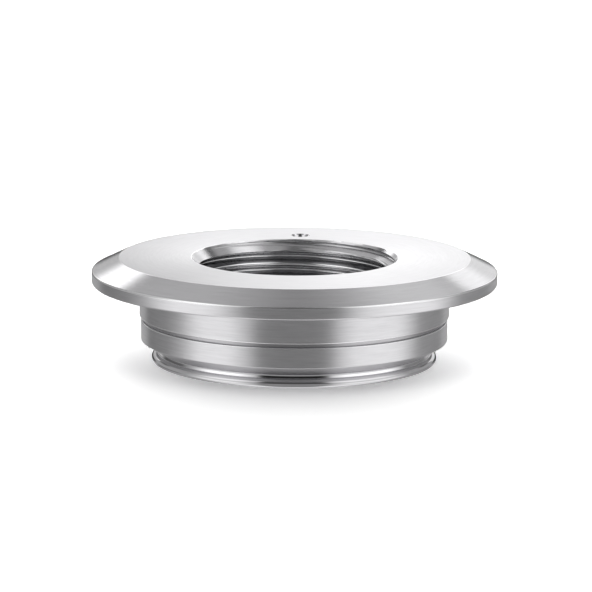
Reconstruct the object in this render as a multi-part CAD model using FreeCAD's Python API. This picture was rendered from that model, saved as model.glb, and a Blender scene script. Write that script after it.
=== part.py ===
import FreeCAD, Part
import math
import os

# Hygienic process adapter: one stainless steel turning. A bevelled flange is gripped by a
# clamp, a short spigot drops into the pipe housing, and a female pipe thread takes a sensor.
# Millimetres, +Z up, origin on the axis in the plane of the wetted face.

# Flange
FLANGE_RADIUS = 33.0
TOP_FACE_RADIUS = 28.6
TOTAL_HEIGHT = 17.0
BEVEL_DROP = 2.15
RIM_HEIGHT = 2.0
RIM_EDGE_BREAK = 0.15
FLANGE_ROOT_FILLET = 0.2

# Spigot, whose two lands are parted by a shallow groove
UPPER_LAND_RADIUS = 25.25
LOWER_LAND_RADIUS = 25.0
LAND_GROOVE_TOP = 7.5
LAND_GROOVE_WIDTH = 0.65
LAND_GROOVE_DEPTH = 0.5
LAND_EDGE_BREAK = 0.1
LOWER_LAND_END = 3.6

# Seal groove at the wetted end: a flat cone, a narrow neck and a rounded lip
SEAL_CONE_DROP = 1.55
NECK_RADIUS = 22.35
NECK_CORNER_FILLET = 0.25
LIP_RADIUS = 23.25
LIP_HEIGHT = 1.4
LIP_TOP_ROUND = 0.85
LIP_BASE_ROUND = 0.5

# Bore: pipe thread at its minor diameter, run-out relief, sealing shoulder, wetted opening
THREAD_MINOR_RADIUS = 15.146
BORE_MOUTH_RADIUS = 16.83
BORE_MOUTH_EDGE_BREAK = 0.1
RELIEF_RADIUS = 17.3
RELIEF_FLOOR = 4.2
RELIEF_HEIGHT = 2.4
RELIEF_CORNER_FILLET = 0.4
SEAT_RADIUS = 14.7
SEAT_RISE = 1.7
OPENING_RADIUS = 13.0
OPENING_HEIGHT = 1.6
OPENING_EDGE_BREAK = 0.25

# Leak port, drilled from the top face to the foot of the relief's wall
LEAK_PORT_RADIUS = 1.0
LEAK_PORT_MOUTH_RADIUS = 1.6
LEAK_PORT_PLACE_RADIUS = 20.6
LEAK_PORT_PLACE_DEGREES = 87.5
LEAK_PORT_END_RISE = 0.4
LEAK_PORT_END_OFFSET = 0.2

AXIS = FreeCAD.Vector(0, 0, 1)
CENTRE = FreeCAD.Vector(0, 0, 0)


def sharp(radius, height):
    """A section corner left as it is."""
    return {"at": FreeCAD.Vector(radius, 0, height), "setback": 0.0, "arc": False}


def cut(radius, height, size):
    """A section corner with a small straight cut, as a broken edge or a fillet too small to tell from one."""
    return {"at": FreeCAD.Vector(radius, 0, height), "setback": size, "arc": False}


def rounded(radius, height, rounding):
    """A section corner with an arc."""
    return {"at": FreeCAD.Vector(radius, 0, height), "rounding": rounding, "arc": True}


def outer_corners():
    """The outside of the section, from the bore mouth down to the wetted face."""
    rim_top = TOTAL_HEIGHT - BEVEL_DROP
    rim_bottom = rim_top - RIM_HEIGHT
    groove_bottom = LAND_GROOVE_TOP - LAND_GROOVE_WIDTH
    groove_radius = LOWER_LAND_RADIUS - LAND_GROOVE_DEPTH
    cone_end = LOWER_LAND_END - SEAL_CONE_DROP
    return [
        cut(BORE_MOUTH_RADIUS, TOTAL_HEIGHT, BORE_MOUTH_EDGE_BREAK),
        cut(TOP_FACE_RADIUS, TOTAL_HEIGHT, RIM_EDGE_BREAK),
        cut(FLANGE_RADIUS, rim_top, RIM_EDGE_BREAK),
        cut(FLANGE_RADIUS, rim_bottom, RIM_EDGE_BREAK),
        cut(UPPER_LAND_RADIUS, rim_bottom, FLANGE_ROOT_FILLET),
        cut(UPPER_LAND_RADIUS, LAND_GROOVE_TOP, LAND_EDGE_BREAK),
        sharp(groove_radius, LAND_GROOVE_TOP),
        sharp(groove_radius, groove_bottom),
        cut(LOWER_LAND_RADIUS, groove_bottom, LAND_EDGE_BREAK),
        cut(LOWER_LAND_RADIUS, LOWER_LAND_END, LAND_EDGE_BREAK),
        cut(NECK_RADIUS, cone_end, NECK_CORNER_FILLET),
        sharp(NECK_RADIUS, LIP_HEIGHT),
        rounded(LIP_RADIUS, LIP_HEIGHT, LIP_TOP_ROUND),
        rounded(LIP_RADIUS, 0.0, LIP_BASE_ROUND),
    ]


def bore_corners():
    """The inside of the section, from the wetted face up to the bore mouth."""
    relief_top = RELIEF_FLOOR + RELIEF_HEIGHT
    thread_top = TOTAL_HEIGHT - (BORE_MOUTH_RADIUS - THREAD_MINOR_RADIUS)
    return [
        cut(OPENING_RADIUS, 0.0, OPENING_EDGE_BREAK),
        sharp(OPENING_RADIUS, OPENING_HEIGHT),
        sharp(SEAT_RADIUS, OPENING_HEIGHT + SEAT_RISE),
        sharp(SEAT_RADIUS, RELIEF_FLOOR),
        cut(RELIEF_RADIUS, RELIEF_FLOOR, RELIEF_CORNER_FILLET),
        cut(RELIEF_RADIUS, relief_top, RELIEF_CORNER_FILLET),
        sharp(THREAD_MINOR_RADIUS, relief_top),
        sharp(THREAD_MINOR_RADIUS, thread_top),
    ]


def section_outline(corners):
    """A closed wire through the corners, each finished in its own way."""
    edges = []
    starts = []
    ends = []
    for number, corner in enumerate(corners):
        place = corner["at"]
        before = corners[number - 1]["at"]
        after = corners[(number + 1) % len(corners)]["at"]
        back = before.sub(place).normalize()
        ahead = after.sub(place).normalize()
        half_angle = back.getAngle(ahead) / 2
        setback = corner["rounding"] / math.tan(half_angle) if corner["arc"] else corner["setback"]
        start = place + back * setback
        end = place + ahead * setback
        starts.append(start)
        ends.append(end)
        if corner["arc"]:
            to_arc = corner["rounding"] / math.sin(half_angle) - corner["rounding"]
            middle = place + (back + ahead).normalize() * to_arc
            edges.append(Part.Arc(start, middle, end).toShape())
        elif setback > 0:
            edges.append(Part.LineSegment(start, end).toShape())
    for number, end in enumerate(ends):
        next_start = starts[(number + 1) % len(starts)]
        edges.append(Part.LineSegment(end, next_start).toShape())
    return Part.Wire(Part.__sortEdges__(edges))


def turned_body():
    """The section turned once round the axis."""
    section = Part.Face(section_outline(outer_corners() + bore_corners()))
    return section.revolve(CENTRE, AXIS, 360)


def leak_port():
    """The countersunk drilling, leaning inward on its way down."""
    place = math.radians(LEAK_PORT_PLACE_DEGREES)
    outward = FreeCAD.Vector(math.cos(place), math.sin(place), 0)
    mouth = outward * LEAK_PORT_PLACE_RADIUS + AXIS * TOTAL_HEIGHT
    end_height = RELIEF_FLOOR + LEAK_PORT_END_RISE
    end = outward * (RELIEF_RADIUS + LEAK_PORT_END_OFFSET) + AXIS * end_height
    depth = end.sub(mouth).Length
    inward_down = end.sub(mouth).normalize()
    run_in = 2 * LEAK_PORT_RADIUS
    drilling = Part.makeCylinder(
        LEAK_PORT_RADIUS,
        depth + run_in,
        mouth - inward_down * run_in,
        inward_down,
    )
    countersink = Part.makeCone(
        2 * LEAK_PORT_MOUTH_RADIUS,
        0.0,
        2 * LEAK_PORT_MOUTH_RADIUS,
        mouth + AXIS * LEAK_PORT_MOUTH_RADIUS,
        -AXIS,
    )
    return drilling.fuse(countersink)


def adapter():
    return turned_body().cut(leak_port())


os.makedirs("parts", exist_ok=True)
adapter_body = adapter()
adapter_body.exportStep("parts/adapter_body.step")
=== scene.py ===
import math

import bmesh
import bpy
from mathutils import Matrix, Vector


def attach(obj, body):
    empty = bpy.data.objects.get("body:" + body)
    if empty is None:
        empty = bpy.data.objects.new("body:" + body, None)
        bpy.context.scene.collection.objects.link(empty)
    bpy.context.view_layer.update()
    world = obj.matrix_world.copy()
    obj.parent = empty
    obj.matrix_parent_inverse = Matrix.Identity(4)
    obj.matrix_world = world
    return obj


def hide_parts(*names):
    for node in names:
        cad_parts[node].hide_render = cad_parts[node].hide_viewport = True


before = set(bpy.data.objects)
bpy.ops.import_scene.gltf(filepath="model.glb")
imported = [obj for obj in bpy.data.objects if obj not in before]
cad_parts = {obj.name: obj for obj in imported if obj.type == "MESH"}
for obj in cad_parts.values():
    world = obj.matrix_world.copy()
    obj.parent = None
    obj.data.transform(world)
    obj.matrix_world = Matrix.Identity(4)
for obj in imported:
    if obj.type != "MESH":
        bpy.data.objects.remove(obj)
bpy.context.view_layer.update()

MM = 0.001

# Flange
FLANGE_RADIUS = 33.0 * MM
TOP_FACE_RADIUS = 28.6 * MM
TOTAL_HEIGHT = 17.0 * MM
BEVEL_DROP = 2.15 * MM
RIM_HEIGHT = 2.0 * MM
RIM_TOP = TOTAL_HEIGHT - BEVEL_DROP
RIM_BOTTOM = RIM_TOP - RIM_HEIGHT
RIM_EDGE_ROUND = 0.3 * MM
FLANGE_ROOT_ROUND = 0.25 * MM

# Spigot
UPPER_LAND_RADIUS = 25.25 * MM
LOWER_LAND_RADIUS = 25.0 * MM
LAND_GROOVE_TOP = 7.5 * MM
LAND_GROOVE_WIDTH = 0.65 * MM
LAND_GROOVE_DEPTH = 0.5 * MM
LAND_GROOVE_BOTTOM = LAND_GROOVE_TOP - LAND_GROOVE_WIDTH
LAND_GROOVE_RADIUS = LOWER_LAND_RADIUS - LAND_GROOVE_DEPTH
LAND_EDGE_ROUND = 0.15 * MM
LAND_GROOVE_ROOT_ROUND = 0.08 * MM
LOWER_LAND_END = 3.6 * MM

# Seal groove
SEAL_CONE_DROP = 1.55 * MM
SEAL_CONE_END = LOWER_LAND_END - SEAL_CONE_DROP
SEAL_CONE_POLISH_RISE = 0.3 * MM
NECK_RADIUS = 22.35 * MM
NECK_CORNER_ROUND = 0.15 * MM
LIP_RADIUS = 23.25 * MM
LIP_HEIGHT = 1.4 * MM
LIP_ROOT_ROUND = 0.04 * MM
LIP_TOP_ROUND = 0.85 * MM
LIP_BASE_ROUND = 0.5 * MM

# Bore
THREAD_MINOR_RADIUS = 15.146 * MM
THREAD_MAJOR_RADIUS = 16.6245 * MM
THREADS_PER_INCH = 11
THREAD_PITCH = 25.4 / THREADS_PER_INCH * MM
THREAD_ROUNDING = 0.137329 * THREAD_PITCH
THREAD_ROUND_DEPTH = 0.07 * MM
THREAD_FLANK_LEAN = math.radians(27.5)
THREAD_CREST_BEHIND = 15.4 * MM
BORE_MOUTH_RADIUS = 16.83 * MM
BORE_MOUTH_ROUND = 0.13 * MM
CHAMFER_FOOT = TOTAL_HEIGHT - (BORE_MOUTH_RADIUS - THREAD_MINOR_RADIUS)
RELIEF_RADIUS = 17.3 * MM
RELIEF_FLOOR = 4.2 * MM
RELIEF_HEIGHT = 2.4 * MM
RELIEF_TOP = RELIEF_FLOOR + RELIEF_HEIGHT
RELIEF_CORNER_ROUND = 0.45 * MM
SEAT_RADIUS = 14.7 * MM
SEAT_RISE = 1.7 * MM
OPENING_RADIUS = 13.0 * MM
OPENING_HEIGHT = 1.6 * MM
OPENING_EDGE_ROUND = 0.3 * MM
INNER_EDGE_ROUND = 0.08 * MM

# Leak port
LEAK_PORT_RADIUS = 1.0 * MM
LEAK_PORT_MOUTH_RADIUS = 1.6 * MM
LEAK_PORT_PLACE_RADIUS = 20.6 * MM
LEAK_PORT_PLACE = math.radians(87.5)
LEAK_PORT_END_RISE = 0.4 * MM
LEAK_PORT_END_OFFSET = 0.2 * MM
LEAK_PORT_SIDES = 64

# Turning marks: how many to a metre and to a turn, how much each kind counts, and their grain
FINE_MARKS_PER_METRE = 9000.0
FINE_MARKS_PER_TURN = 12.0
FINE_SHARE = 0.4
BROAD_MARKS_PER_METRE = 2600.0
BROAD_MARKS_PER_TURN = 40.0
BROAD_SHARE = 0.6
MARK_DETAIL = 2.0
MARK_ROUGHNESS = 0.6

# Heights of the marks between which the steel's tint changes
TINT_START = 0.35
TINT_END = 0.65

# A quarter turn draws the gloss out across the marks
GLOSS_TURN = 0.25

# Which way a face has to look to get a finish, as the height of its unit normal
LOOKS_UP = 0.5
LOOKS_STEEPLY_UP = 0.6
LOOKS_DOWN = -0.3

# Floor
FLOOR_HALF_WIDTH = 3.0
FLOOR_DROP = 0.05 * MM
FLOOR_WHITE = 0.85
FLOOR_LIFT_TO_CAMERA = 0.75

# Studio card behind the part
CARD_WIDTH = 0.34
CARD_HEIGHT = 0.17
CARD_FOOT = 0.02
CARD_BEHIND = 0.25
CARD_LEVEL = 0.54

# Light level of the room that the steel mirrors
ROOM_LEVEL = 0.42

# How finely the surface is divided
TURNS_STEPS = 340
ARC_STEP = math.radians(15.0)
FLANK_STEPS = 6

# What counts as one point, as no edge, as level with the top face and as a sharp edge
MERGE_DISTANCE = 0.002 * MM
SHORTEST_EDGE = 0.001 * MM
LEVEL_TOLERANCE = 0.001 * MM
SHARP_EDGE_ANGLE = math.radians(35)

# How much a face's area counts in the direction its corners shade in
AREA_WEIGHT = 100

# Camera, in metres, degrees and pixels of the photograph
IMAGE_SIZE = 592
CAMERA_ELEVATION = math.radians(10.33)
CAMERA_ROLL = math.radians(0.361)
CAMERA_DISTANCE = 0.671
PIXELS_PER_METRE = 6143.0
TARGET_HEIGHT = RIM_TOP
TARGET_PIXEL = (294.6, 269.85)
SENSOR_WIDTH = 36.0


def section_corners():
    """The turned section's corners as (radius, height, rounding).

    They run from the bore mouth down the outside and up the inside to the thread.
    """
    return [
        (BORE_MOUTH_RADIUS, TOTAL_HEIGHT, BORE_MOUTH_ROUND),
        (TOP_FACE_RADIUS, TOTAL_HEIGHT, RIM_EDGE_ROUND),
        (FLANGE_RADIUS, RIM_TOP, RIM_EDGE_ROUND),
        (FLANGE_RADIUS, RIM_BOTTOM, RIM_EDGE_ROUND),
        (UPPER_LAND_RADIUS, RIM_BOTTOM, FLANGE_ROOT_ROUND),
        (UPPER_LAND_RADIUS, LAND_GROOVE_TOP, LAND_EDGE_ROUND),
        (LAND_GROOVE_RADIUS, LAND_GROOVE_TOP, LAND_GROOVE_ROOT_ROUND),
        (LAND_GROOVE_RADIUS, LAND_GROOVE_BOTTOM, LAND_GROOVE_ROOT_ROUND),
        (LOWER_LAND_RADIUS, LAND_GROOVE_BOTTOM, LAND_EDGE_ROUND),
        (LOWER_LAND_RADIUS, LOWER_LAND_END, LAND_EDGE_ROUND),
        (NECK_RADIUS, SEAL_CONE_END, NECK_CORNER_ROUND),
        (NECK_RADIUS, LIP_HEIGHT, LIP_ROOT_ROUND),
        (LIP_RADIUS, LIP_HEIGHT, LIP_TOP_ROUND),
        (LIP_RADIUS, 0.0, LIP_BASE_ROUND),
        (OPENING_RADIUS, 0.0, OPENING_EDGE_ROUND),
        (OPENING_RADIUS, OPENING_HEIGHT, INNER_EDGE_ROUND),
        (SEAT_RADIUS, OPENING_HEIGHT + SEAT_RISE, INNER_EDGE_ROUND),
        (SEAT_RADIUS, RELIEF_FLOOR, INNER_EDGE_ROUND),
        (RELIEF_RADIUS, RELIEF_FLOOR, RELIEF_CORNER_ROUND),
        (RELIEF_RADIUS, RELIEF_TOP, RELIEF_CORNER_ROUND),
    ]


def rounded_corner(before, corner, after, rounding):
    """Points along a corner's arc, from the side of the corner before to the side of the one after."""
    place = Vector(corner)
    back = (Vector(before) - place).normalized()
    ahead = (Vector(after) - place).normalized()
    half_angle = back.angle(ahead) / 2
    setback = rounding / math.tan(half_angle)
    centre = place + (back + ahead).normalized() * (rounding / math.sin(half_angle))
    start = place + back * setback - centre
    turn = start.angle_signed(place + ahead * setback - centre)
    steps = max(2, math.ceil(abs(turn) / ARC_STEP))
    return [centre + Matrix.Rotation(-turn * n / steps, 2) @ start for n in range(steps + 1)]


def section_points():
    """The section as (radius, height) points, from the mouth's chamfer round to the relief's ceiling."""
    corners = section_corners()
    thread_top = (THREAD_MINOR_RADIUS, CHAMFER_FOOT)
    thread_bottom = (THREAD_MINOR_RADIUS, RELIEF_TOP)
    route = [thread_top] + [corner[:2] for corner in corners] + [thread_bottom]
    points = []
    for number, corner in enumerate(corners):
        points += rounded_corner(route[number], route[number + 1], route[number + 2], corner[2])
    return points


def thread_radius(height_from_crest):
    """The pipe thread's radius at a height from the nearest crest."""
    offset = abs((height_from_crest + THREAD_PITCH / 2) % THREAD_PITCH - THREAD_PITCH / 2)
    from_root = THREAD_PITCH / 2 - offset
    arc_reach = THREAD_ROUNDING * math.cos(THREAD_FLANK_LEAN)
    arc_rise = THREAD_ROUNDING * (1 - math.sin(THREAD_FLANK_LEAN))
    if offset < arc_reach:
        return THREAD_MINOR_RADIUS + THREAD_ROUNDING - math.sqrt(THREAD_ROUNDING**2 - offset**2)
    if from_root < arc_reach:
        return THREAD_MAJOR_RADIUS - THREAD_ROUNDING + math.sqrt(THREAD_ROUNDING**2 - from_root**2)
    return THREAD_MINOR_RADIUS + arc_rise + (offset - arc_reach) / math.tan(THREAD_FLANK_LEAN)


def thread_rows():
    """Heights within one pitch, from a crest up, at which the thread gets a row of vertices."""
    flank_turn = math.pi / 2 - THREAD_FLANK_LEAN
    arc_steps = math.ceil(flank_turn / ARC_STEP)
    arc = [THREAD_ROUNDING * math.sin(flank_turn * n / arc_steps) for n in range(arc_steps + 1)]
    flank_start = arc[-1]
    flank_end = THREAD_PITCH / 2 - flank_start
    flank = [flank_start + (flank_end - flank_start) * n / FLANK_STEPS for n in range(1, FLANK_STEPS)]
    rising = arc + flank + [THREAD_PITCH / 2 - a for a in reversed(arc)]
    falling = [THREAD_PITCH - h for h in reversed(rising[1:-1])]
    return rising + falling


def ring(mesh, radius, height):
    """A circle of vertices round the axis."""
    step = 2 * math.pi / TURNS_STEPS
    return [
        mesh.verts.new((radius * math.cos(step * n), radius * math.sin(step * n), height))
        for n in range(TURNS_STEPS)
    ]


def join_rings(mesh, upper, lower):
    """Quads between two circles of vertices, wound so that the outside of the section faces out."""
    for n in range(len(upper)):
        m = (n + 1) % len(upper)
        mesh.faces.new((upper[n], lower[n], lower[m], upper[m]))


def thread_grid(mesh, low, high):
    """The threaded wall from the relief's ceiling to the mouth's chamfer, in rows that follow the helix.

    Rows past either end are pressed flat onto it and merged there afterwards. After one turn a row meets
    the row one pitch above it.
    """
    per_pitch = thread_rows()
    rise = THREAD_PITCH / TURNS_STEPS
    behind = TURNS_STEPS // 4
    phase = THREAD_CREST_BEHIND - behind * rise
    first = math.floor((low - THREAD_PITCH - phase) / THREAD_PITCH)
    last = math.ceil((high - phase) / THREAD_PITCH)
    heights = [phase + THREAD_PITCH * turn + h for turn in range(first, last + 1) for h in per_pitch]
    columns = []
    for n in range(TURNS_STEPS):
        angle = 2 * math.pi * n / TURNS_STEPS
        column = []
        for start in heights:
            height = min(max(start + rise * n, low), high)
            radius = thread_radius(height - rise * n - phase)
            chamfer = BORE_MOUTH_RADIUS - (TOTAL_HEIGHT - height)
            radius = max(radius, chamfer)
            column.append(mesh.verts.new((radius * math.cos(angle), radius * math.sin(angle), height)))
        columns.append(column)
    for n in range(TURNS_STEPS):
        here = columns[n]
        seam = n == TURNS_STEPS - 1
        following = columns[0] if seam else columns[n + 1]
        shift = len(per_pitch) if seam else 0
        for row in range(len(heights) - 1 - shift):
            corners = (here[row], here[row + 1], following[row + 1 + shift], following[row + shift])
            mesh.faces.new(corners)
    bottom = [column[0] for column in columns]
    top = [column[-1] for column in columns]
    return bottom, top


def turned_mesh():
    """The whole turning with its thread, as one closed mesh."""
    mesh = bmesh.new()
    points = section_points()
    rings = [ring(mesh, radius, height) for radius, height in points]
    for upper, lower in zip(rings, rings[1:]):
        join_rings(mesh, upper, lower)
    bottom, top = thread_grid(mesh, points[-1][1], points[0][1])
    join_rings(mesh, rings[-1], bottom)
    bmesh.ops.remove_doubles(mesh, verts=mesh.verts, dist=MERGE_DISTANCE)
    bmesh.ops.dissolve_degenerate(mesh, edges=mesh.edges, dist=SHORTEST_EDGE)
    bmesh.ops.recalc_face_normals(mesh, faces=mesh.faces)
    return mesh


def new_object(name, mesh):
    """A mesh under construction becomes an object of the scene."""
    data = bpy.data.meshes.new(name)
    mesh.to_mesh(data)
    mesh.free()
    made = bpy.data.objects.new(name, data)
    bpy.context.scene.collection.objects.link(made)
    return made


def leak_port_cutter():
    """The drilling, which leans inward, and its upright countersink, as one closed shape."""
    outward = Vector((math.cos(LEAK_PORT_PLACE), math.sin(LEAK_PORT_PLACE), 0))
    mouth = outward * LEAK_PORT_PLACE_RADIUS + Vector((0, 0, TOTAL_HEIGHT))
    end = outward * (RELIEF_RADIUS + LEAK_PORT_END_OFFSET)
    end.z = RELIEF_FLOOR + LEAK_PORT_END_RISE
    down = (end - mouth).normalized()
    above = 2 * LEAK_PORT_MOUTH_RADIUS
    countersink = [
        (LEAK_PORT_MOUTH_RADIUS + above, -above),
        (LEAK_PORT_RADIUS, LEAK_PORT_MOUTH_RADIUS - LEAK_PORT_RADIUS),
    ]
    turn = 2 * math.pi / LEAK_PORT_SIDES
    around = [Vector((math.cos(turn * n), math.sin(turn * n), 0)) for n in range(LEAK_PORT_SIDES)]
    mesh = bmesh.new()
    rings = []
    for radius, depth in countersink:
        centre = mouth - Vector((0, 0, depth))
        rings.append([mesh.verts.new(centre + side * radius) for side in around])
    to_drill = Vector((0, 0, -1)).rotation_difference(down)
    rings.append([mesh.verts.new(end + to_drill @ (side * LEAK_PORT_RADIUS)) for side in around])
    for upper, lower in zip(rings, rings[1:]):
        join_rings(mesh, upper, lower)
    mesh.faces.new(rings[0])
    mesh.faces.new(rings[-1])
    bmesh.ops.recalc_face_normals(mesh, faces=mesh.faces)
    return new_object("leak_port_cutter", mesh)


def apply_modifiers(piece):
    """The evaluated mesh becomes the piece's own."""
    evaluated = piece.evaluated_get(bpy.context.evaluated_depsgraph_get())
    made = bpy.data.meshes.new_from_object(evaluated)
    piece.modifiers.clear()
    piece.data = made


def cut_leak_port(piece):
    """The leak port is cut into the turning."""
    cutter = leak_port_cutter()
    boolean = piece.modifiers.new("leak_port", "BOOLEAN")
    boolean.operation = "DIFFERENCE"
    boolean.solver = "EXACT"
    boolean.object = cutter
    apply_modifiers(piece)
    bpy.data.objects.remove(cutter)


def smooth_piece(piece):
    """Flat faces stay flat, rounded edges shade smoothly and sharp corners stay sharp."""
    piece.data.shade_smooth()
    piece.data.set_sharp_from_angle(angle=SHARP_EDGE_ANGLE)
    weighted = piece.modifiers.new("weighted_normals", "WEIGHTED_NORMAL")
    weighted.mode = "FACE_AREA"
    weighted.weight = AREA_WEIGHT
    weighted.keep_sharp = True
    apply_modifiers(piece)


adapter = new_object("adapter_turning", turned_mesh())
cut_leak_port(adapter)
smooth_piece(adapter)


class Nodes:
    """A short way to add shader nodes and link them."""

    def __init__(self, tree):
        self.tree = tree
        self.tree.nodes.clear()

    def add(self, kind, **settings):
        """A new node with its settings."""
        node = self.tree.nodes.new(kind)
        for name, value in settings.items():
            setattr(node, name, value)
        return node

    def link(self, start, end):
        self.tree.links.new(start, end)

    def put(self, socket, value):
        """A link where the value is another node's output, or else a plain value."""
        if isinstance(value, bpy.types.NodeSocket):
            self.link(value, socket)
        else:
            socket.default_value = value

    def math(self, operation, first, second=None, clamp=False):
        """What one calculation gives."""
        node = self.add("ShaderNodeMath", operation=operation, use_clamp=clamp)
        self.put(node.inputs[0], first)
        if second is not None:
            self.put(node.inputs[1], second)
        return node.outputs[0]

    def step(self, value, low, high):
        """0 below low, 1 above high and smooth between."""
        node = self.add("ShaderNodeMapRange", interpolation_type="SMOOTHSTEP")
        self.put(node.inputs["Value"], value)
        node.inputs["From Min"].default_value = low
        node.inputs["From Max"].default_value = high
        return node.outputs["Result"]

    def band(self, value, rise_start, rise_end, fall_start, fall_end):
        """0 outside the band, 1 inside it and smooth between."""
        rise = self.step(value, rise_start, rise_end)
        fall = self.step(value, fall_start, fall_end)
        return self.math("SUBTRACT", rise, fall, clamp=True)

    def window(self, value, low, high, blur):
        """1 between low and high, with soft ends."""
        return self.band(value, low - blur, low + blur, high - blur, high + blur)

    def other_side(self, share):
        """1 where the share is 0, and 0 where it is 1."""
        return self.math("SUBTRACT", 1.0, share)

    def add_lights(self, level, lights):
        """The level with each (across, upward, strength) light added. A shade has a negative strength."""
        for across, upward, strength in lights:
            light = self.math("MULTIPLY", self.math("MULTIPLY", across, upward), strength)
            level = self.math("ADD", level, light)
        return level


def ring_noise(nodes, radius, height, angle, marks_per_metre, marks_per_turn):
    """Noise drawn out round the axis, as turning leaves it."""
    across = nodes.add("ShaderNodeCombineXYZ")
    nodes.link(nodes.math("MULTIPLY", radius, marks_per_metre), across.inputs["X"])
    nodes.link(nodes.math("MULTIPLY", height, marks_per_metre), across.inputs["Y"])
    nodes.link(nodes.math("MULTIPLY", angle, marks_per_turn / (2 * math.pi)), across.inputs["Z"])
    noise = nodes.add("ShaderNodeTexNoise", noise_dimensions="3D")
    noise.inputs["Scale"].default_value = 1.0
    noise.inputs["Detail"].default_value = MARK_DETAIL
    noise.inputs["Roughness"].default_value = MARK_ROUGHNESS
    nodes.link(across.outputs[0], noise.inputs["Vector"])
    return noise.outputs[0]


def turned_steel(name, base, roughness, anisotropy, mark_depth, tint_range):
    """Stainless steel with fine marks that run round the axis."""
    material = bpy.data.materials.new(name)
    material.use_nodes = True
    nodes = Nodes(material.node_tree)
    place = nodes.add("ShaderNodeTexCoord")
    parts = nodes.add("ShaderNodeSeparateXYZ")
    nodes.link(place.outputs["Object"], parts.inputs[0])
    x_squared = nodes.math("MULTIPLY", parts.outputs["X"], parts.outputs["X"])
    y_squared = nodes.math("MULTIPLY", parts.outputs["Y"], parts.outputs["Y"])
    radius = nodes.math("SQRT", nodes.math("ADD", x_squared, y_squared))
    angle = nodes.math("ARCTAN2", parts.outputs["Y"], parts.outputs["X"])
    height = parts.outputs["Z"]
    fine = ring_noise(nodes, radius, height, angle, FINE_MARKS_PER_METRE, FINE_MARKS_PER_TURN)
    broad = ring_noise(nodes, radius, height, angle, BROAD_MARKS_PER_METRE, BROAD_MARKS_PER_TURN)
    fine_part = nodes.math("MULTIPLY", fine, FINE_SHARE)
    broad_part = nodes.math("MULTIPLY", broad, BROAD_SHARE)
    marks = nodes.math("ADD", fine_part, broad_part)

    bump = nodes.add("ShaderNodeBump")
    bump.inputs["Strength"].default_value = 1.0
    bump.inputs["Distance"].default_value = mark_depth
    nodes.link(marks, bump.inputs["Height"])

    tint = nodes.add("ShaderNodeMapRange")
    nodes.link(marks, tint.inputs["Value"])
    tint.inputs["From Min"].default_value = TINT_START
    tint.inputs["From Max"].default_value = TINT_END
    tint.inputs["To Min"].default_value = 1.0 - tint_range
    tint.inputs["To Max"].default_value = 1.0 + tint_range
    colour = nodes.add("ShaderNodeVectorMath", operation="SCALE")
    colour.inputs[0].default_value = base
    nodes.link(tint.outputs["Result"], colour.inputs["Scale"])

    shine = nodes.add("ShaderNodeBsdfPrincipled")
    nodes.link(colour.outputs[0], shine.inputs["Base Color"])
    shine.inputs["Metallic"].default_value = 1.0
    shine.inputs["Roughness"].default_value = roughness
    shine.inputs["Anisotropic"].default_value = anisotropy
    shine.inputs["Anisotropic Rotation"].default_value = GLOSS_TURN
    nodes.link(bump.outputs[0], shine.inputs["Normal"])
    tangent = nodes.add("ShaderNodeTangent", direction_type="RADIAL", axis="Z")
    nodes.link(tangent.outputs[0], shine.inputs["Tangent"])
    out = nodes.add("ShaderNodeOutputMaterial")
    nodes.link(shine.outputs[0], out.inputs["Surface"])
    return material


STEEL = (0.665, 0.66, 0.675)
# Paler steel that paints highlight lines on the edges and on the thread's crests and roots
HIGHLIGHT_STEEL = (0.9, 0.9, 0.91)
# Darker steel that paints the shade in the groove between the lands
SHADED_SLOT_STEEL = (0.48, 0.475, 0.49)
# Much darker steel that paints the shade inside the leak port's drilling
SHADED_DRILL_STEEL = (0.15, 0.15, 0.155)
# Darker steel that paints the shade inside the threaded bore
SHADED_THREAD_STEEL = (0.5, 0.5, 0.51)

# Each finish: its name and colour, roughness, anisotropy, depth of the marks and range of the tint
face_steel = turned_steel("steel_face", STEEL, 0.28, 0.75, 0.0013 * MM, 0.05)
land_steel = turned_steel("steel_land", STEEL, 0.3, 0.75, 0.0012 * MM, 0.06)
polished_steel = turned_steel("steel_polished", STEEL, 0.06, 0.0, 0.0001 * MM, 0.02)
# Painted shade: darker steel for the thread's flanks
shaded_thread_steel = turned_steel("steel_thread_painted_shade", SHADED_THREAD_STEEL, 0.14, 0.3, 0.0008 * MM, 0.05)
# Painted highlight: paler steel for the edge lines and the thread's crests and roots
highlight_steel = turned_steel("steel_painted_highlight", HIGHLIGHT_STEEL, 0.12, 0.0, 0.0002 * MM, 0.03)
cone_steel = turned_steel("steel_cone", STEEL, 0.32, 0.6, 0.0008 * MM, 0.04)
# Painted shade: darker steel for the groove between the lands
shaded_slot_steel = turned_steel("steel_slot_painted_shade", SHADED_SLOT_STEEL, 0.3, 0.5, 0.0008 * MM, 0.04)
bevel_steel = turned_steel("steel_bevel", STEEL, 0.2, 0.7, 0.001 * MM, 0.04)
# Painted shade: much darker steel for the leak port's drilling
shaded_drill_steel = turned_steel("steel_drilled_painted_shade", SHADED_DRILL_STEEL, 0.3, 0.0, 0.0005 * MM, 0.03)


def highlight_edges():
    """The edges whose paler steel paints fine highlight lines, as (radius, height, rounding)."""
    return [
        (BORE_MOUTH_RADIUS, TOTAL_HEIGHT, BORE_MOUTH_ROUND),
        (TOP_FACE_RADIUS, TOTAL_HEIGHT, RIM_EDGE_ROUND),
        (FLANGE_RADIUS, RIM_TOP, RIM_EDGE_ROUND),
        (UPPER_LAND_RADIUS, LAND_GROOVE_TOP, LAND_EDGE_ROUND),
        (LOWER_LAND_RADIUS, LAND_GROOVE_BOTTOM, LAND_EDGE_ROUND),
    ]


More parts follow.
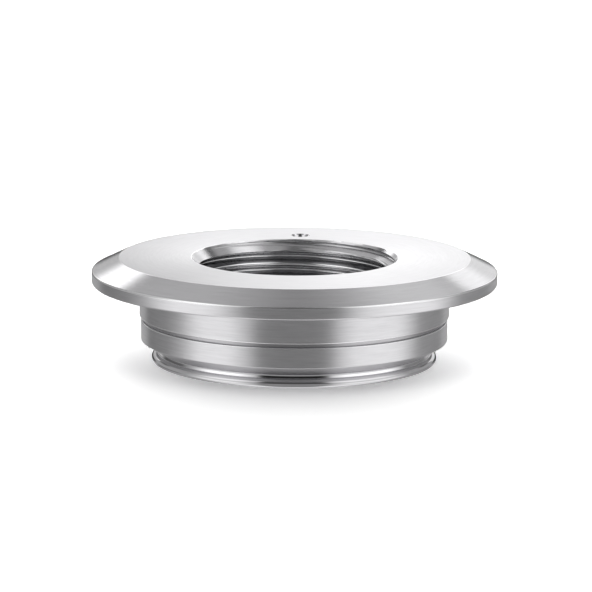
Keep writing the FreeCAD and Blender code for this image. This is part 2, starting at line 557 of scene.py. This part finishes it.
def on_thread_round(radius, height, lift):
    """Whether a face of the bore lies on a crest or in a root and doesn't look down."""
    in_thread = RELIEF_TOP < height < CHAMFER_FOOT - THREAD_ROUND_DEPTH
    on_crest = radius < THREAD_MINOR_RADIUS + THREAD_ROUND_DEPTH
    in_root = radius > THREAD_MAJOR_RADIUS - THREAD_ROUND_DEPTH
    return in_thread and (on_crest or in_root) and lift > LOOKS_DOWN


def outer_steel(radius, height, lift):
    """The finish of a face further out than the bore's mouth, by its place and how far up it looks."""
    if height > TOTAL_HEIGHT - LEVEL_TOLERANCE:
        return face_steel
    if height > RIM_TOP and radius > TOP_FACE_RADIUS:
        return bevel_steel
    if height > RIM_TOP and radius < TOP_FACE_RADIUS:
        # The countersink that looks up is polished, and the drilling's walls get much darker steel as
        # painted shade
        return polished_steel if lift > LOOKS_UP else shaded_drill_steel
    # The groove gets darker steel as painted shade
    if LAND_GROOVE_BOTTOM < height < LAND_GROOVE_TOP:
        return shaded_slot_steel
    if height > LOWER_LAND_END:
        return land_steel
    if height > SEAL_CONE_END + SEAL_CONE_POLISH_RISE:
        return cone_steel
    return polished_steel


def inner_steel(radius, height, lift):
    """The finish of a face within the bore's mouth, by its place and how far up it looks."""
    if height > CHAMFER_FOOT and lift > LOOKS_STEEPLY_UP:
        return bevel_steel
    if height < RELIEF_FLOOR:
        return polished_steel
    # Crests and roots get the paler steel as a painted highlight, and the rest of the thread gets darker
    # steel as painted shade
    return highlight_steel if on_thread_round(radius, height, lift) else shaded_thread_steel


def give_materials(piece):
    """Turned flange and lands, a polished wetted end and a cut thread. Paler steel on the edges and on the
    thread's crests and roots paints highlight lines, and darker steel paints shade in the groove, the leak
    port's drilling and the bore.
    """
    steels = (
        face_steel,
        land_steel,
        polished_steel,
        shaded_thread_steel,
        highlight_steel,
        cone_steel,
        shaded_slot_steel,
        bevel_steel,
        shaded_drill_steel,
    )
    for material in steels:
        piece.data.materials.append(material)
    edges = highlight_edges()
    for face in piece.data.polygons:
        centre = face.center
        radius = math.hypot(centre.x, centre.y)
        height = centre.z
        # Faces on these edge rounds get the paler steel as a painted highlight
        if any(math.hypot(radius - r, height - z) < rounding for r, z, rounding in edges):
            steel = highlight_steel
        elif radius > BORE_MOUTH_RADIUS:
            steel = outer_steel(radius, height, face.normal.z)
        else:
            steel = inner_steel(radius, height, face.normal.z)
        face.material_index = steels.index(steel)


give_materials(adapter)
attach(adapter, "root")
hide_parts("adapter_body")


def make_floor():
    """A matt white floor, paler to the camera, so that it is white away from the shadow."""
    mesh = bmesh.new()
    bmesh.ops.create_grid(mesh, x_segments=1, y_segments=1, size=FLOOR_HALF_WIDTH)
    floor = new_object("floor", mesh)
    floor.location.z = -FLOOR_DROP
    material = bpy.data.materials.new("floor_white")
    material.use_nodes = True
    nodes = Nodes(material.node_tree)
    matt = nodes.add("ShaderNodeBsdfDiffuse")
    rays = nodes.add("ShaderNodeLightPath")
    lift = nodes.math("MULTIPLY", rays.outputs["Is Camera Ray"], FLOOR_LIFT_TO_CAMERA)
    shade = nodes.math("ADD", FLOOR_WHITE, lift)
    nodes.link(shade, matt.inputs["Color"])
    out = nodes.add("ShaderNodeOutputMaterial")
    nodes.link(matt.outputs[0], out.inputs["Surface"])
    floor.data.materials.append(material)
    floor.visible_glossy = False


def make_back_card():
    """A lit card behind the part, which only the steel's gloss sees. Its places are in metres."""
    mesh = bmesh.new()
    bmesh.ops.create_grid(mesh, x_segments=1, y_segments=1, size=1.0)
    card = new_object("back_card", mesh)
    card.scale = (CARD_WIDTH / 2, CARD_HEIGHT / 2, 1)
    card.rotation_euler.x = math.pi / 2
    card.location = (0, CARD_BEHIND, CARD_FOOT + CARD_HEIGHT / 2)
    material = bpy.data.materials.new("card_light")
    material.use_nodes = True
    nodes = Nodes(material.node_tree)
    place = nodes.add("ShaderNodeNewGeometry")
    parts = nodes.add("ShaderNodeSeparateXYZ")
    nodes.link(place.outputs["Position"], parts.inputs[0])
    across = parts.outputs["X"]
    height = parts.outputs["Z"]
    upper_half = nodes.step(height, 0.075, 0.12)
    left_end = nodes.other_side(nodes.step(across, -0.09, -0.065))
    far_left_end = nodes.other_side(nodes.step(across, -0.12, -0.09))
    lights = [
        (nodes.step(across, -0.055, 0.0), 1.0, 0.95),
        (nodes.step(across, 0.005, 0.065), 1.0, -0.62),
        (left_end, upper_half, 1.0),
        (nodes.step(across, -0.01, 0.03), upper_half, 0.45),
        (far_left_end, nodes.step(height, 0.055, 0.08), 0.3),
    ]
    glow = nodes.add("ShaderNodeEmission")
    glow.inputs["Color"].default_value = (1, 1, 1, 1)
    nodes.link(nodes.add_lights(CARD_LEVEL, lights), glow.inputs["Strength"])
    out = nodes.add("ShaderNodeOutputMaterial")
    nodes.link(glow.outputs[0], out.inputs["Surface"])
    card.data.materials.append(material)
    card.visible_camera = False
    card.visible_diffuse = False
    card.visible_shadow = False
    card.visible_transmission = False


def sky_for_gloss(nodes, azimuth, elevation):
    """What the steel sees round it: a dim room, soft panels at the sides and a dark camera side.

    Azimuth is in degrees from the camera's side, positive to the right, and elevation in degrees up.
    Upright steel mirrors what lies ten degrees down, because the camera looks down as much.
    """
    sides = nodes.math("ABSOLUTE", azimuth)
    front = nodes.other_side(nodes.step(sides, 26.0, 34.0))
    left = nodes.window(azimuth, -85.0, -38.0, 16.0)
    right = nodes.window(azimuth, 35.0, 95.0, 15.0)
    both_panels = nodes.math("ADD", left, right)
    square_on = nodes.window(sides, 80.0, 122.0, 8.0)
    far_back = nodes.step(sides, 100.0, 150.0)
    back_corners = nodes.window(sides, 131.0, 150.0, 3.0)
    behind = nodes.step(sides, 142.0, 154.0)
    behind_left = nodes.window(azimuth, -176.0, -120.0, 6.0)
    behind_right = nodes.window(azimuth, 140.0, 172.0, 10.0)
    panel_height = nodes.window(elevation, -38.0, 12.0, 6.0)
    upright_mirrors = nodes.window(elevation, -14.5, -5.5, 1.5)
    lights = [
        (left, panel_height, 0.52),
        (right, panel_height, 0.5),
        (both_panels, upright_mirrors, 0.75),
        (both_panels, nodes.window(elevation, -75.0, -36.0, 5.0), 0.6),
        (square_on, nodes.window(elevation, 47.0, 68.0, 4.0), 0.7),
        (both_panels, nodes.window(elevation, 16.0, 58.0, 4.0), 0.8),
        (behind, nodes.window(elevation, -17.0, -9.0, 1.5), 0.25),
        (front, nodes.step(elevation, 72.0, 80.0), 0.09),
        (behind_right, nodes.window(elevation, 35.0, 58.0, 5.0), 0.38),
        (behind_left, nodes.window(elevation, 38.0, 62.0, 5.0), 0.13),
        (1.0, nodes.other_side(nodes.step(elevation, -75.0, -50.0)), 0.5),
    ]
    shades = [
        (front, nodes.window(elevation, -15.5, -5.0, 1.5), -0.4),
        (front, nodes.step(elevation, 4.0, 13.0), -0.33),
        (front, nodes.window(elevation, -75.0, -36.0, 4.0), -0.26),
        (nodes.window(azimuth, -142.0, -104.0, 6.0), upright_mirrors, -0.27),
        (nodes.window(azimuth, 104.0, 142.0, 6.0), upright_mirrors, -0.13),
        (back_corners, nodes.window(elevation, 17.0, 36.0, 4.0), -0.34),
        (behind, nodes.window(elevation, -9.0, 1.5, 1.5), -0.38),
        (far_back, nodes.window(elevation, -30.0, -9.0, 2.0), -0.05),
        (nodes.step(sides, 135.0, 150.0), nodes.step(elevation, 60.0, 76.0), -0.36),
    ]
    return nodes.add_lights(ROOM_LEVEL, lights + shades)


def soft_dome(nodes, direction):
    """The soft light on the floor: from straight above, high in front and low behind."""
    height = direction.outputs["Z"]
    along = direction.outputs["Y"]
    behind = nodes.step(along, -0.02, 0.02)
    lengthwise = nodes.math("MULTIPLY", along, along)
    from_behind = nodes.math("MULTIPLY", lengthwise, behind)
    from_front = nodes.math("MULTIPLY", lengthwise, nodes.other_side(behind))
    lights = [
        (1.0, nodes.step(height, 0.6, 0.9), 0.82),
        (from_front, nodes.band(height, 0.6, 0.75, 0.85, 0.97), 2.2),
        (from_front, nodes.step(height, 0.8, 0.92), 7.9),
        (from_behind, nodes.band(height, 0.25, 0.45, 0.6, 0.85), 2.95),
        (from_behind, nodes.band(height, 0.1, 0.2, 0.25, 0.4), 14.1),
    ]
    return nodes.add_lights(0.0, lights)


def make_surroundings():
    """White to the camera, a soft dome for the floor and a room for the gloss."""
    world = bpy.data.worlds.new("studio")
    bpy.context.scene.world = world
    world.use_nodes = True
    world.cycles.sampling_method = "NONE"
    nodes = Nodes(world.node_tree)
    place = nodes.add("ShaderNodeTexCoord")
    parts = nodes.add("ShaderNodeSeparateXYZ")
    nodes.link(place.outputs["Generated"], parts.inputs[0])
    toward = nodes.math("MULTIPLY", parts.outputs["Y"], -1.0)
    side = nodes.math("ARCTAN2", parts.outputs["X"], toward)
    azimuth = nodes.math("MULTIPLY", side, 180 / math.pi)
    elevation = nodes.math("MULTIPLY", nodes.math("ARCSINE", parts.outputs["Z"]), 180 / math.pi)
    gloss = sky_for_gloss(nodes, azimuth, elevation)
    dome = soft_dome(nodes, parts)

    rays = nodes.add("ShaderNodeLightPath")
    soft = nodes.add("ShaderNodeMix", data_type="FLOAT")
    nodes.link(rays.outputs["Is Diffuse Ray"], soft.inputs[0])
    soft.inputs[2].default_value = 1.0
    nodes.link(dome, soft.inputs[3])
    either = nodes.add("ShaderNodeMix", data_type="FLOAT")
    nodes.link(rays.outputs["Is Glossy Ray"], either.inputs[0])
    nodes.link(soft.outputs[0], either.inputs[2])
    nodes.link(gloss, either.inputs[3])
    sky = nodes.add("ShaderNodeBackground")
    sky.inputs["Color"].default_value = (1, 1, 1, 1)
    nodes.link(either.outputs[0], sky.inputs["Strength"])
    out = nodes.add("ShaderNodeOutputWorld")
    nodes.link(sky.outputs[0], out.inputs["Surface"])


def make_camera():
    """The photograph's viewpoint: the target, on the axis at the rim's top edge, lands on its own pixel."""
    forward = Vector((0, math.cos(CAMERA_ELEVATION), -math.sin(CAMERA_ELEVATION)))
    level_right = Vector((1, 0, 0))
    level_up = level_right.cross(forward)
    right = level_right * math.cos(CAMERA_ROLL) + level_up * math.sin(CAMERA_ROLL)
    up = level_up * math.cos(CAMERA_ROLL) - level_right * math.sin(CAMERA_ROLL)
    focal_pixels = PIXELS_PER_METRE * CAMERA_DISTANCE
    off_right = (TARGET_PIXEL[0] - IMAGE_SIZE / 2) / focal_pixels
    off_down = (TARGET_PIXEL[1] - IMAGE_SIZE / 2) / focal_pixels
    target = Vector((0, 0, TARGET_HEIGHT))
    location = target - forward * CAMERA_DISTANCE
    aim = (forward - right * off_right + up * off_down).normalized()
    right = (right - aim * right.dot(aim)).normalized()
    up = right.cross(aim)

    data = bpy.data.cameras.new("camera")
    data.sensor_width = SENSOR_WIDTH
    data.lens = focal_pixels * SENSOR_WIDTH / IMAGE_SIZE
    data.clip_start = 0.01
    data.clip_end = 20.0
    camera = bpy.data.objects.new("camera", data)
    rotation = Matrix((right, up, -aim)).transposed()
    camera.matrix_world = Matrix.Translation(location) @ rotation.to_4x4()
    bpy.context.scene.collection.objects.link(camera)
    bpy.context.scene.camera = camera


make_floor()
make_back_card()
make_surroundings()
make_camera()
bpy.context.scene.view_settings.view_transform = "Standard"
